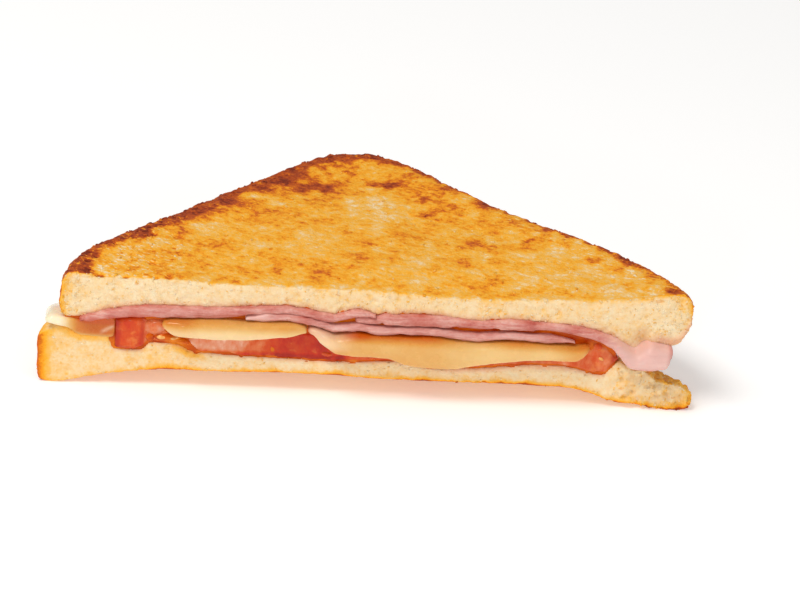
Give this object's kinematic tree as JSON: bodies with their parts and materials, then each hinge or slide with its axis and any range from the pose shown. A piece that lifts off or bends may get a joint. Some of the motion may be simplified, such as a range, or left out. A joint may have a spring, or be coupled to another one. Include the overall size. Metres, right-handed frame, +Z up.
{
  "type": "toasted sandwich half",
  "caption": "Half of a toasted sandwich, cut from corner to corner, with ham, melted cheese and tomato showing at the cut; free-standing food on its lower crust",
  "frame": {"origin": "middle of the base of the whole half's box, on the table", "axes": "+X along the cut face from its left end to its right end as seen from in front of the cut, +Y from the cut face to the far corner, +Z up"},
  "size_m": [0.1516, 0.083, 0.0295],
  "materials": {
    "bread_bottom": "matt, toasted outside and pale crumb at the cut",
    "bread_top": "matt, toasted golden outside and pale crumb at the cut",
    "ham": "moist satin",
    "cheese": "melted, glossy",
    "tomato": "wet"
  },
  "bodies": {
    "root": {"bread_bottom": "bread_bottom", "bread_top": "bread_top", "tomato_left": "tomato", "tomato_middle": "tomato", "tomato_right": "tomato", "cheese_left": "cheese", "cheese_right": "cheese", "cheese_corner": "cheese", "ham_left": "ham", "ham_inner": "ham", "ham_lower": "ham", "ham_right": "ham"}
  },
  "joints": []
}
